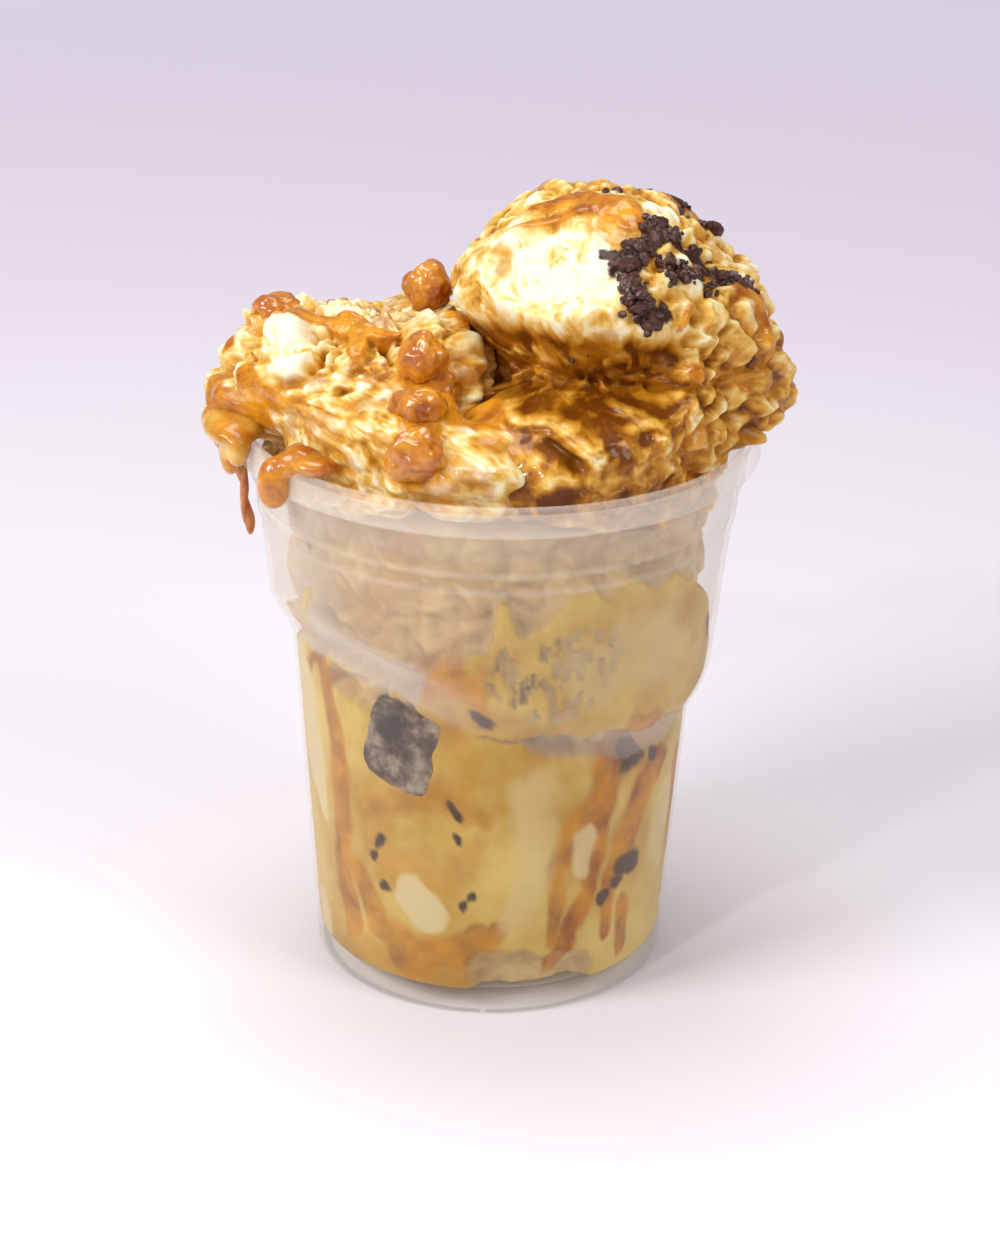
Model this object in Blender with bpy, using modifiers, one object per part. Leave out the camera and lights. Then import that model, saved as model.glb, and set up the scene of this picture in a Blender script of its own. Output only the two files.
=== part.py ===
"""A gelato cup: a clear plastic dessert cup with a wavy shoulder, filled with caramel and
chocolate gelato and heaped with two big scoops. Lengths are in millimetres and become metres
when a mesh is made. The origin is the centre of the cup's base and +Z is up. The side at -Y
is the front."""

import math

import bmesh
import bpy
import numpy as np

METRE = 0.001
GAP, ROUGH_GAP = 0.3, 0.6
ROOM_SPARE = 1.15

# The cup: a lower cone and a wider upper cone, joined by a shoulder whose height runs in waves.
CUP_HEIGHT = 106.0
WALL = 0.9
LOWER_RADIUS, LOWER_SLOPE = 32.7, 0.072
UPPER_RADIUS, UPPER_SLOPE = 34.2, 0.1
SHOULDER_FOOT, SHOULDER_RISE = 56.7, 9.5
TILT_SIZE, TILT_PHASE = 5.2, -153.0
WAVE_SIZE, WAVE_PHASE = 5.1, 79.0
WAVE_START, WAVE_END = 8.0, 89.0
RING_LOW, RING_HIGH, RING_PROUD = 89.0, 92.0, 0.45
RIM_RADIUS, RIM_BOTTOM, MOUTH_RADIUS = 47.5, 100.7, 45.2
FOOT_RADIUS, FOOT_INNER_RADIUS, FLOOR_UNDERSIDE, FLOOR_TOP = 31.9, 30.2, 3.6, 4.6
CUP_SEGMENTS = 44

# The gelato packed in the cup, which ends where the scoops begin.
FILL_TOP = 100.0

# Each scoop is the outer skin of the ellipsoids listed: (centre), (half sizes). The mouth holds
# it in at the front and back, and it hangs over the rim at the sides.
RIGHT_CENTRE = (18.0, -3.0, 112.0)
RIGHT_LOBES = [
    ((18.0, 0.0, 120.5), (27.0, 28.0, 27.0)),
    ((38.5, 0.5, 110.5), (15.2, 14.0, 10.5)),
    ((38.0, -2.0, 117.0), (13.5, 13.0, 9.0)),
    ((-0.5, -6.0, 129.5), (9.0, 13.0, 8.5)),
    ((16.0, -19.0, 107.0), (28.0, 25.0, 14.0)),
    ((33.0, -15.0, 110.0), (15.0, 16.0, 13.0)),
    ((20.0, 17.0, 110.0), (26.0, 25.0, 19.0)),
    ((26.0, 11.0, 119.0), (18.0, 17.0, 18.0)),
]
LEFT_CENTRE = (-24.0, 0.0, 106.0)
LEFT_LOBES = [
    ((-24.0, 0.0, 107.0), (28.0, 32.0, 16.5)),
    ((-35.5, 1.0, 114.0), (13.5, 16.0, 10.5)),
    ((-41.5, 1.0, 106.5), (12.2, 14.0, 8.5)),
    ((-22.0, -25.0, 108.0), (22.0, 19.0, 10.0)),
    ((-10.0, -7.0, 115.0), (10.5, 15.0, 11.5)),
    ((-12.0, 20.0, 107.0), (27.0, 24.0, 12.5)),
    ((-33.0, -22.0, 107.0), (13.0, 16.0, 10.0)),
    ((-4.0, -33.0, 107.0), (12.0, 11.0, 8.5)),
    ((-30.0, 16.0, 110.0), (15.0, 14.0, 9.5)),
]
LOBE_SHARPNESS = 14.0
MOUTH_REACH, SIDE_REACH = 44.3, 53.6
REACH_MIDDLE, REACH_FULL, REACH_NONE = 2.0, 10.0, 22.0
SCOOP_SEGMENTS, SCOOP_RINGS = 42, 22
LUMP_SIZE, LUMP_LENGTH = 0.5, 19.0

# Caramelled nuts half sunk in the left scoop: name, centre, half sizes.
NUTS = [
    ("caramel_nut_1", (-12.6, 1.0, 129.2), (4.4, 3.8, 4.2)),
    ("caramel_nut_2", (-13.2, -19.5, 122.3), (3.6, 3.4, 4.3)),
    ("caramel_nut_3", (-13.8, -30.5, 117.4), (4.6, 3.8, 3.6)),
    ("caramel_nut_4", (-13.8, -39.4, 112.6), (4.7, 4.1, 4.2)),
    ("caramel_nut_5", (-40.3, 4.0, 122.6), (4.2, 3.6, 3.4)),
]
NUT_SEGMENTS, NUT_RINGS, NUT_BUMP = 14, 9, 0.07

# The chocolate: a cluster on the right scoop and a chunk that shows at the cup's wall.
CLUSTER_CENTRE = (24.9, -19.3, 139.7)
CLUSTER_LOBES = [
    ((24.4, -21.3, 136.4), (3.7, 4.6, 5.2)),
    ((24.9, -19.3, 139.7), (4.0, 3.8, 4.4)),
    ((26.4, -16.8, 142.2), (3.7, 4.6, 4.4)),
]
CLUSTER_SEGMENTS, CLUSTER_RINGS = 16, 10
CHUNK_AZIMUTH, CHUNK_HEIGHT, CHUNK_RADIUS = -117.5, 54.5, 33.0
CHUNK_SIZE, CHUNK_LEAN = (13.5, 10.0, 16.5), 12.0


def clear_scene():
    for obj in list(bpy.data.objects):
        bpy.data.objects.remove(obj, do_unlink=True)


def new_collection(name):
    collection = bpy.data.collections.new(name)
    bpy.context.scene.collection.children.link(collection)
    return collection


def new_material(name, colour, roughness, alpha=1.0):
    material = bpy.data.materials.new(name)
    material.use_nodes = True
    shader = material.node_tree.nodes["Principled BSDF"]
    shader.inputs["Base Color"].default_value = (*colour, 1.0)
    shader.inputs["Roughness"].default_value = roughness
    shader.inputs["Metallic"].default_value = 0.0
    shader.inputs["Alpha"].default_value = alpha
    material.diffuse_color = (*colour, alpha)
    return material


def new_object(name, mesh, collection, material=None):
    obj = bpy.data.objects.new(name, mesh)
    collection.objects.link(obj)
    if material:
        mesh.materials.append(material)
        mesh.shade_smooth()
    else:
        obj.hide_render = True
        obj.display_type = "WIRE"
    return obj


def positions(mesh):
    flat = np.empty(len(mesh.vertices) * 3)
    mesh.vertices.foreach_get("co", flat)
    return flat.reshape(-1, 3) / METRE


def set_positions(mesh, points):
    mesh.vertices.foreach_set("co", (points * METRE).ravel())
    mesh.update()


def shoulder_foot(azimuth):
    """The height at which the shoulder starts: its mean plus a tilt and a wave of two crests."""
    tilt = TILT_SIZE * np.cos(azimuth - math.radians(TILT_PHASE))
    wave = WAVE_SIZE * np.cos(2.0 * azimuth - math.radians(WAVE_PHASE))
    return SHOULDER_FOOT + tilt + wave


def body_radius(height, foot):
    """The outer wall's radius: an eased step from the lower cone to the upper one."""
    step = np.clip((height - foot) / SHOULDER_RISE, 0.0, 1.0)
    eased = step * step * (3.0 - 2.0 * step)
    lower = LOWER_RADIUS + LOWER_SLOPE * height
    upper = UPPER_RADIUS + UPPER_SLOPE * height
    return lower + eased * (upper - lower)


def body_heights():
    """Heights of the body's rows, close together where the shoulder turns."""
    steps = SHOULDER_FOOT + SHOULDER_RISE * np.linspace(0.0, 1.0, 5)
    return [8.0, 34.0, *steps, 87.0]


def wave_shoulder(mesh):
    """Moves the rows between WAVE_START and WAVE_END up or down with the shoulder, and out or
    in so that each keeps its distance from the wall."""
    points = positions(mesh)
    azimuth = np.arctan2(points[:, 1], points[:, 0])
    height = points[:, 2]
    shift = shoulder_foot(azimuth) - SHOULDER_FOOT
    top = SHOULDER_FOOT + SHOULDER_RISE
    below = (height - WAVE_START) / (SHOULDER_FOOT - WAVE_START)
    above = (WAVE_END - height) / (WAVE_END - top)
    moved = height + shift * np.clip(np.minimum(below, above), 0.0, 1.0)
    outwards = body_radius(moved, SHOULDER_FOOT + shift) - body_radius(height, SHOULDER_FOOT)
    radius = np.hypot(points[:, 0], points[:, 1])
    scale = np.where(radius > 1.0, 1.0 + outwards / np.maximum(radius, 1.0), 1.0)
    points[:, 0] *= scale
    points[:, 1] *= scale
    points[:, 2] = moved
    set_positions(mesh, points)


def evaluated_mesh(obj, name):
    """The object's mesh with its modifiers carried out and its poles welded."""
    bpy.context.view_layer.update()
    graph = bpy.context.evaluated_depsgraph_get()
    mesh = bpy.data.meshes.new_from_object(obj.evaluated_get(graph))
    mesh.name = name
    shape = bmesh.new()
    shape.from_mesh(mesh)
    bmesh.ops.remove_doubles(shape, verts=shape.verts, dist=0.01 * METRE)
    shape.to_mesh(mesh)
    shape.free()
    return mesh


def turned(name, profile, segments, collection, material=None):
    """A profile of (radius, height) pairs, down the outer side, turned about Z."""
    mesh = bpy.data.meshes.new(name)
    points = [(radius * METRE, 0.0, height * METRE) for radius, height in profile]
    edges = [(i, i + 1) for i in range(len(points) - 1)]
    mesh.from_pydata(points, edges, [])
    guide = bpy.data.objects.new(name + "_profile", mesh)
    collection.objects.link(guide)
    screw = guide.modifiers.new("turn", "SCREW")
    screw.steps = segments
    screw.render_steps = segments
    screw.use_merge_vertices = True
    screw.merge_threshold = 0.00001
    solid = evaluated_mesh(guide, name)
    bpy.data.objects.remove(guide, do_unlink=True)
    return new_object(name, solid, collection, material)


def cut(obj, cutter, operation="DIFFERENCE"):
    """Carries out one Boolean cut at once, so that later steps see its result."""
    modifier = obj.modifiers.new("cut", "BOOLEAN")
    modifier.operation = operation
    modifier.solver = "EXACT"
    modifier.object = cutter
    mesh = evaluated_mesh(obj, obj.name)
    obj.modifiers.clear()
    obj.data = mesh


def lumps(points):
    """Soft lumps over a scoop: three crossed waves of LUMP_LENGTH, which never repeat exactly."""
    turn = 2.0 * math.pi / LUMP_LENGTH
    x, y, z = points.T * turn
    first = np.sin(x + 0.7 * y) * np.cos(0.9 * z - 0.4 * x)
    second = np.sin(1.7 * y - 0.6 * z + 1.3) * np.cos(1.3 * x + 0.5)
    return LUMP_SIZE * (first + second)


def skin_distance(directions, centre, lobes):
    """How far the skin lies from the centre in each direction: the far side of each ellipsoid,
    blended into one by a high power mean that leaves a soft crease where two lobes meet."""
    total = np.zeros(len(directions))
    for middle, sizes in lobes:
        start = (np.array(centre) - middle) / sizes
        ray = directions / sizes
        a = (ray * ray).sum(1)
        b = ray @ start
        c = start @ start - 1.0
        root = b * b - a * c
        far = (np.sqrt(np.maximum(root, 0.0)) - b) / a
        total += np.where(root > 0.0, np.maximum(far, 0.0), 0.0) ** LOBE_SHARPNESS
    return total ** (1.0 / LOBE_SHARPNESS)


def held_by_mouth(points, grow):
    """Draws points in to the widest radius the scoop has there: within the mouth at the front
    and back, and out past the rim at the sides."""
    away = np.abs(points[:, 1] - REACH_MIDDLE)
    side = np.clip((REACH_NONE - away) / (REACH_NONE - REACH_FULL), 0.0, 1.0)
    reach = MOUTH_REACH + (SIDE_REACH - MOUTH_REACH) * side * side * (3.0 - 2.0 * side)
    radius = np.hypot(points[:, 0], points[:, 1])
    shrink = np.minimum(1.0, (reach + grow) / np.maximum(radius, 1.0))
    return points * np.stack([shrink, shrink, np.ones_like(shrink)], 1)


def lobed(name, centre, lobes, segments, rings, collection, material=None, grow=0.0):
    """A ball whose points are moved out to the skin of its lobes, with the lumps on it. Every
    lobe's half sizes are larger by grow."""
    shape = bmesh.new()
    bmesh.ops.create_uvsphere(shape, u_segments=segments, v_segments=rings, radius=METRE)
    mesh = bpy.data.meshes.new(name)
    shape.to_mesh(mesh)
    shape.free()
    directions = positions(mesh)
    directions /= np.linalg.norm(directions, axis=1)[:, None]
    grown = [(middle, np.array(sizes) + grow) for middle, sizes in lobes]
    distance = skin_distance(directions, centre, grown)
    skin = directions * distance[:, None] + centre
    skin += directions * lumps(skin)[:, None]
    set_positions(mesh, held_by_mouth(skin, grow))
    return new_object(name, mesh, collection, material)


def nut(name, centre, sizes, seed, collection, material):
    """An egg with shallow dents."""
    shape = bmesh.new()
    bmesh.ops.create_uvsphere(shape, u_segments=NUT_SEGMENTS, v_segments=NUT_RINGS,
                              radius=METRE)
    mesh = bpy.data.meshes.new(name)
    shape.to_mesh(mesh)
    shape.free()
    unit = positions(mesh)
    x, y, z = unit.T
    dents = np.sin(3.0 * x + seed) * np.cos(2.5 * y - seed) + 0.6 * np.sin(4.0 * z + 2.0 * seed)
    size = np.array(sizes) * (1.0 + NUT_BUMP * dents)[:, None]
    set_positions(mesh, unit * size + centre)
    return new_object(name, mesh, collection, material)


def chunk(name, collection, material):
    """A broken block of chocolate with rounded edges, turned to face out through the wall."""
    shape = bmesh.new()
    bmesh.ops.create_cube(shape, size=2.0 * METRE)
    bmesh.ops.subdivide_edges(shape, edges=shape.edges, cuts=4, use_grid_fill=True)
    mesh = bpy.data.meshes.new(name)
    shape.to_mesh(mesh)
    shape.free()
    cube = positions(mesh)
    rounded = cube / (np.abs(cube) ** 4).sum(1)[:, None] ** 0.25
    x, y, z = rounded.T
    rough = 1.0 + 0.06 * np.sin(5.0 * z + 2.0 * x) * np.cos(4.0 * y + 1.0)
    block = rounded * np.array(CHUNK_SIZE) / 2.0 * rough[:, None]
    lean = math.radians(CHUNK_LEAN)
    across = block[:, 0] * math.cos(lean) - block[:, 2] * math.sin(lean)
    up = block[:, 0] * math.sin(lean) + block[:, 2] * math.cos(lean)
    azimuth = math.radians(CHUNK_AZIMUTH)
    out = CHUNK_RADIUS + block[:, 1]
    x = out * math.cos(azimuth) + across * math.sin(azimuth)
    y = out * math.sin(azimuth) - across * math.cos(azimuth)
    set_positions(mesh, np.stack([x, y, up + CHUNK_HEIGHT], 1))
    return new_object(name, mesh, collection, material)


def room_for(piece, collection, gap=GAP):
    """A cutter in the piece's shape, with every point moved out along its normal by the gap."""
    mesh = piece.data.copy()
    mesh.materials.clear()
    normals = np.empty(len(mesh.vertices) * 3)
    mesh.vertices.foreach_get("normal", normals)
    set_positions(mesh, positions(mesh) + normals.reshape(-1, 3) * gap * ROOM_SPARE)
    return new_object(piece.name + "_room", mesh, collection)


def cup_profile():
    """From the middle of the floor up the inside, over the skirted rim and down the outside to
    the foot ring and the underside."""
    foot = SHOULDER_FOOT
    inside = [(body_radius(z, foot) - WALL, z) for z in body_heights()]
    outside = [(body_radius(z, foot), z) for z in reversed(body_heights())]
    ring = body_radius(RING_HIGH, foot)
    floor = [(0.0, FLOOR_TOP), (30.4, FLOOR_TOP), (31.8, 5.6)]
    mouth = [(ring, RING_HIGH + 1.0), (44.2, 98.0), (44.8, 102.5), (MOUTH_RADIUS, 105.0)]
    lip = [(46.1, CUP_HEIGHT), (47.0, 105.8), (RIM_RADIUS - 0.1, 105.0)]
    skirt = [(RIM_RADIUS, RIM_BOTTOM + 0.4), (RIM_RADIUS - 0.3, RIM_BOTTOM)]
    under = [(RIM_RADIUS - 0.9, RIM_BOTTOM + 0.2), (46.5, 104.6), (46.0, 104.9)]
    neck = [(45.7, 102.4), (45.1, 98.0), (ring + 0.5, RING_HIGH + 1.0)]
    band = [(ring + RING_PROUD, RING_HIGH), (ring + RING_PROUD - 0.2, RING_LOW + 0.3)]
    base = [(32.8, 1.3), (32.5, 0.4), (FOOT_RADIUS, 0.0)]
    underside = [(FOOT_INNER_RADIUS, 0.0), (30.0, FLOOR_UNDERSIDE - 0.8)]
    centre = [(29.2, FLOOR_UNDERSIDE), (0.0, FLOOR_UNDERSIDE)]
    return [*floor, *inside, *mouth, *lip, *skirt, *under, *neck, *band, *outside,
            *base, *underside, *centre]


def fill_profile():
    """The space inside the wall, less the gap, with a rounded top that leaves the wall."""
    inset = WALL + GAP
    side = [(body_radius(z, SHOULDER_FOOT) - inset, z) for z in reversed(body_heights())]
    top = [(0.0, FILL_TOP), (30.0, FILL_TOP), (38.0, FILL_TOP - 1.5), (40.8, FILL_TOP - 6.0)]
    base = [(31.0, 6.0), (29.6, FLOOR_TOP + GAP), (0.0, FLOOR_TOP + GAP)]
    return [*top, *side, *base]


def mouth_profile():
    """What the scoops keep clear of: the packed gelato, the mouth and the rim's outside."""
    outside = RIM_RADIUS + 2.0 * GAP
    return [(0.0, FILL_TOP + GAP), (MOUTH_RADIUS - 1.1, FILL_TOP + GAP),
            (MOUTH_RADIUS - GAP, 105.4), (46.0, CUP_HEIGHT + GAP), (outside - 0.5, CUP_HEIGHT + GAP),
            (outside, 105.6), (outside, 60.0), (0.0, 60.0)]


def build():
    clear_scene()
    parts = new_collection("gelato_cup")
    cutters = new_collection("cutters")
    plastic = new_material("cup_plastic", (0.80, 0.78, 0.72), 0.35, alpha=0.35)
    gelato = new_material("gelato", (0.86, 0.68, 0.40), 0.45)
    caramel = new_material("caramel", (0.55, 0.22, 0.03), 0.2)
    chocolate = new_material("chocolate", (0.05, 0.02, 0.015), 0.4)

    cup = turned("cup", cup_profile(), CUP_SEGMENTS, parts, plastic)
    wave_shoulder(cup.data)

    fill = turned("gelato_fill", fill_profile(), CUP_SEGMENTS, parts, gelato)
    wave_shoulder(fill.data)
    piece = chunk("chocolate_chunk", parts, chocolate)
    room = room_for(piece, cutters)
    cut(piece, fill, "INTERSECT")
    cut(fill, room)

    scoops = {}
    for name, centre, lobes in [("scoop_right", RIGHT_CENTRE, RIGHT_LOBES),
                                ("scoop_left", LEFT_CENTRE, LEFT_LOBES)]:
        scoops[name] = lobed(name, centre, lobes, SCOOP_SEGMENTS, SCOOP_RINGS, parts, gelato)
    beside = lobed("right_room", RIGHT_CENTRE, RIGHT_LOBES, SCOOP_SEGMENTS, SCOOP_RINGS,
                   cutters, grow=ROUGH_GAP)
    cut(scoops["scoop_left"], beside)
    mouth = turned("mouth_room", mouth_profile(), CUP_SEGMENTS, cutters)
    for scoop in scoops.values():
        cut(scoop, mouth)

    cluster = lobed("chocolate_cluster", CLUSTER_CENTRE, CLUSTER_LOBES, CLUSTER_SEGMENTS,
                    CLUSTER_RINGS, parts, chocolate)
    cut(scoops["scoop_right"], room_for(cluster, cutters, ROUGH_GAP))

    for seed, (name, centre, sizes) in enumerate(NUTS):
        piece = nut(name, centre, sizes, seed, parts, caramel)
        cut(scoops["scoop_left"], room_for(piece, cutters))
        cut(piece, beside)


build()
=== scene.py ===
"""A gelato cup on a pale table: a clear dessert cup packed with caramel ripple gelato, with two
scoops, caramelled nuts and broken chocolate on top. Lengths are millimetres until a mesh is made.
"""
import math

import bpy
import numpy as np
from mathutils import Matrix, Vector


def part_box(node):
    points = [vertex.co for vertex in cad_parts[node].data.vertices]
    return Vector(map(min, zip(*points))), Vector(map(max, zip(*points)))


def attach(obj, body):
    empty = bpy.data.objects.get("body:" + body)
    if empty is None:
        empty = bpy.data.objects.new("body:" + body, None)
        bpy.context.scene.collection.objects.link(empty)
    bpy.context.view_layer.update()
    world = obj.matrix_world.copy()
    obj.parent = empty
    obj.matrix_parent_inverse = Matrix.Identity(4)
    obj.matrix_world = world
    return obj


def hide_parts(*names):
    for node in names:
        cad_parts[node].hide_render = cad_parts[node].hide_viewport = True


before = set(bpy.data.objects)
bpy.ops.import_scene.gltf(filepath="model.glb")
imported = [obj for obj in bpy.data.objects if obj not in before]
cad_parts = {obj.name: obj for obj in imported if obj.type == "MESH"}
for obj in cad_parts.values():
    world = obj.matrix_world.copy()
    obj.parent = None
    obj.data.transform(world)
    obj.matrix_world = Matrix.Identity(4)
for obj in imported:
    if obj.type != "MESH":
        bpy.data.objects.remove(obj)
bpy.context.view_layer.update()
METRE = 0.001


# ---------------------------------------------------------------------------------------------
# Table: one wide sheet of pale lilac card that runs flat under the cup, far enough out that no
# edge shows. Away from the cup its colour is painted darker and bluer and it is given a glow that
# grows with distance: painted shade and painted light for how the lamps fall across the card.

def new_mesh(name, points, faces):
    """A mesh from an array of points in millimetres and one of four-cornered or
    three-cornered faces, shaded smooth."""
    mesh = bpy.data.meshes.new(name)
    corners = faces.shape[1]
    mesh.vertices.add(len(points))
    mesh.vertices.foreach_set("co", (points * METRE).astype(np.float32).ravel())
    mesh.loops.add(faces.size)
    mesh.loops.foreach_set("vertex_index", faces.astype(np.int32).ravel())
    mesh.polygons.add(len(faces))
    mesh.polygons.foreach_set("loop_start", np.arange(0, faces.size, corners, dtype=np.int32))
    mesh.polygons.foreach_set("use_smooth", np.ones(len(faces), bool))
    mesh.update(calc_edges=True)
    mesh.validate()
    return mesh


def new_piece(name, mesh, material):
    piece = bpy.data.objects.new(name, mesh)
    bpy.context.scene.collection.objects.link(piece)
    mesh.materials.append(material)
    return piece


def new_material(name):
    """A material, its node tree and its Principled shader."""
    material = bpy.data.materials.new(name)
    material.use_nodes = True
    tree = material.node_tree
    shader = tree.nodes["Principled BSDF"]
    return material, tree, shader


TABLE_REACH = 3000.0
around = np.linspace(-math.pi, math.pi, 96, endpoint=False)
ring_sizes = np.concatenate([np.linspace(0.5, 900.0, 12), [1500.0, TABLE_REACH]])[:, None]
card = np.stack([ring_sizes * np.cos(around), ring_sizes * np.sin(around),
                 0.0 * ring_sizes * around], -1)
card_paper, tree, card_shader = new_material("lilac_card")
place = tree.nodes.new("ShaderNodeTexCoord")
reach = tree.nodes.new("ShaderNodeVectorMath")
reach.operation = "LENGTH"
# Painted shade: the card's colour darkens and cools with distance from the cup.
painted_falloff = tree.nodes.new("ShaderNodeValToRGB")
tree.links.new(place.outputs["Object"], reach.inputs[0])
tree.links.new(reach.outputs["Value"], painted_falloff.inputs["Fac"])
painted_falloff.color_ramp.elements[0].position = 0.30
painted_falloff.color_ramp.elements[0].color = (0.89, 0.845, 0.90, 1.0)
painted_falloff.color_ramp.elements[1].position = 0.85
painted_falloff.color_ramp.elements[1].color = (0.86, 0.80, 0.93, 1.0)
tree.links.new(painted_falloff.outputs["Color"], card_shader.inputs["Base Color"])
# Painted light: the card glows more with distance from the cup, which brightens the far card.
painted_glow = tree.nodes.new("ShaderNodeValToRGB")
tree.links.new(reach.outputs["Value"], painted_glow.inputs["Fac"])
painted_glow.color_ramp.elements.new(0.42)
for mark, (spot, colour) in zip(painted_glow.color_ramp.elements, (
        (0.20, (0.0, 0.0, 0.0)), (0.42, (0.09, 0.05, 0.09)), (0.80, (0.285, 0.25, 0.31)))):
    mark.position = spot
    mark.color = (*colour, 1.0)
tree.links.new(painted_glow.outputs["Color"], card_shader.inputs["Emission Color"])
card_shader.inputs["Emission Strength"].default_value = 1.0
card_shader.inputs["Roughness"].default_value = 0.9
card_shader.inputs["Specular IOR Level"].default_value = 0.1
index = np.arange(len(ring_sizes) * 96).reshape(-1, 96)
side = np.roll(index, -1, axis=1)
card_faces = np.stack([index[:-1], index[1:], side[1:], side[:-1]], -1).reshape(-1, 4)
backdrop = new_piece("backdrop", new_mesh("backdrop", card.reshape(-1, 3), card_faces), card_paper)


# ---------------------------------------------------------------------------------------------
# Camera and lights: a long lens looks down on the cup at 24 degrees. Two soft lights stand at
# the front on either side and a third hangs over the cup.

CAMERA_DISTANCE, CAMERA_TILT, CAMERA_AIM, CAMERA_ROLL = 594.2, 23.99, 64.06, 1.10
camera = bpy.data.objects.new("camera", bpy.data.cameras.new("camera"))
bpy.context.scene.collection.objects.link(camera)
tilt = math.radians(CAMERA_TILT)
place = Matrix.Translation((0.0, -CAMERA_DISTANCE * math.cos(tilt) * METRE,
                            (CAMERA_AIM + CAMERA_DISTANCE * math.sin(tilt)) * METRE))
camera.matrix_world = (place @ Matrix.Rotation(math.pi / 2.0 - tilt, 4, "X")
                       @ Matrix.Rotation(math.radians(CAMERA_ROLL), 4, "Z"))
camera.data.lens = 92.16
camera.data.shift_x = 0.0044
camera.data.clip_start = 0.01
bpy.context.scene.camera = camera


def soft_light(name, spot, aim, size, power):
    """A square light of that size and power in metres and watts, turned to face its aim."""
    lamp = bpy.data.lights.new(name, "AREA")
    lamp.size = size
    lamp.energy = power
    light = bpy.data.objects.new(name, lamp)
    bpy.context.scene.collection.objects.link(light)
    light.location = spot
    light.rotation_euler = (aim - light.location).to_track_quat("-Z", "Y").to_euler()


middle = Matrix.Translation((0.0, 0.0, 0.09)).translation
soft_light("left_light", (-0.52, -0.30, 0.52), middle, 0.26, 3.2)
soft_light("right_light", (0.5, -0.36, 0.56), middle, 0.30, 1.9)
soft_light("top_light", (-0.05, 0.12, 0.75), middle, 0.35, 2.2)
soft_light("sparkle", (-0.3, -0.5, 0.6), middle, 0.04, 0.8)
world = bpy.data.worlds.new("studio")
bpy.context.scene.world = world
world.use_nodes = True
world.node_tree.nodes["Background"].inputs["Color"].default_value = (0.97, 0.96, 1.0, 1.0)
world.node_tree.nodes["Background"].inputs["Strength"].default_value = 0.28
bpy.context.scene.view_settings.view_transform = "Standard"


# ---------------------------------------------------------------------------------------------
# The cup: thin milky polypropylene, moulded in one shot. A lower cone and a wider upper cone
# meet in a shoulder that runs round in waves. The rim is folded over into a skirt, and the
# floor is raised inside a foot ring.

WALL = 0.9
LOWER_RADIUS, LOWER_SLOPE = 32.7, 0.072
UPPER_RADIUS, UPPER_SLOPE = 34.2, 0.1
SHOULDER_FOOT, SHOULDER_RISE = 56.7, 9.5
TILT_SIZE, TILT_PHASE, WAVE_SIZE, WAVE_PHASE = 5.2, -153.0, 5.1, 79.0
RING_LOW, RING_HIGH, RING_PROUD = 88.6, 92.2, 0.45
CUP_SEGMENTS = 288


def ease(value, start, end):
    """0 at start, 1 at end, and an S curve between."""
    t = np.clip((value - start) / (end - start), 0.0, 1.0)
    return t * t * (3.0 - 2.0 * t)


def shoulder_foot(azimuth):
    """Height of the shoulder's foot: a mean, plus a tilt, plus a wave with two crests."""
    return (SHOULDER_FOOT + TILT_SIZE * np.cos(azimuth - math.radians(TILT_PHASE))
            + WAVE_SIZE * np.cos(2.0 * azimuth - math.radians(WAVE_PHASE)))


def body_radius(height, azimuth):
    """The outer wall: the lower cone, eased into the upper one over the shoulder, with the
    stacking ring standing proud of it and the flare below the rim."""
    foot = shoulder_foot(azimuth)
    lower = LOWER_RADIUS + LOWER_SLOPE * height
    upper = UPPER_RADIUS + UPPER_SLOPE * height
    step = ease(height, foot, foot + SHOULDER_RISE)
    ring = ease(height, RING_LOW, RING_LOW + 0.7) - ease(height, RING_HIGH - 0.7, RING_HIGH)
    flare = 1.6 * ease(height, RING_HIGH, 104.0)
    return lower + step * (upper - lower) + RING_PROUD * ring + flare


def skin(name, rings, first=None, last=None):
    """A mesh over rings of points (rings, points, 3) that close on themselves, with an end
    point before the first ring and after the last, if given."""
    count, around = rings.shape[:2]
    index = np.arange(count * around).reshape(count, around)
    side = np.roll(index, -1, axis=1)
    quads = np.stack([index[:-1], index[1:], side[1:], side[:-1]], -1).reshape(-1, 4)
    faces = np.concatenate([quads[:, [0, 1, 2]], quads[:, [0, 2, 3]]])
    points = rings.reshape(-1, 3)
    if first is not None:
        points = np.concatenate([points, [first]])
        tip = np.full(around, len(points) - 1)
        faces = np.concatenate([faces, np.stack([tip, index[0], side[0]], 1)])
    if last is not None:
        points = np.concatenate([points, [last]])
        tip = np.full(around, len(points) - 1)
        faces = np.concatenate([faces, np.stack([tip, side[-1], index[-1]], 1)])
    return new_mesh(name, points, faces)


azimuth = np.linspace(-math.pi, math.pi, CUP_SEGMENTS, endpoint=False)
body = np.concatenate([np.linspace(6.5, 44.0, 16), np.linspace(45.0, 80.0, 64),
                       np.linspace(81.0, 88.0, 6), np.linspace(88.4, 93.2, 16)])
grid_height = body[:, None]
inner = body_radius(grid_height, azimuth) - WALL
outer = body_radius(grid_height, azimuth)


def turned(pairs):
    """Rings of (radius, height) for each pair, all the way round."""
    radius, height = np.array(pairs, float).T
    return np.repeat(radius[:, None], CUP_SEGMENTS, 1), np.repeat(height[:, None], CUP_SEGMENTS, 1)


def arc(centre, size, start, end, count):
    """Points on a circle in the profile's plane, from one angle to the other in degrees."""
    angle = np.radians(np.linspace(start, end, count))
    return list(zip(centre[0] + size * np.cos(angle), centre[1] + size * np.sin(angle)))


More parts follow.
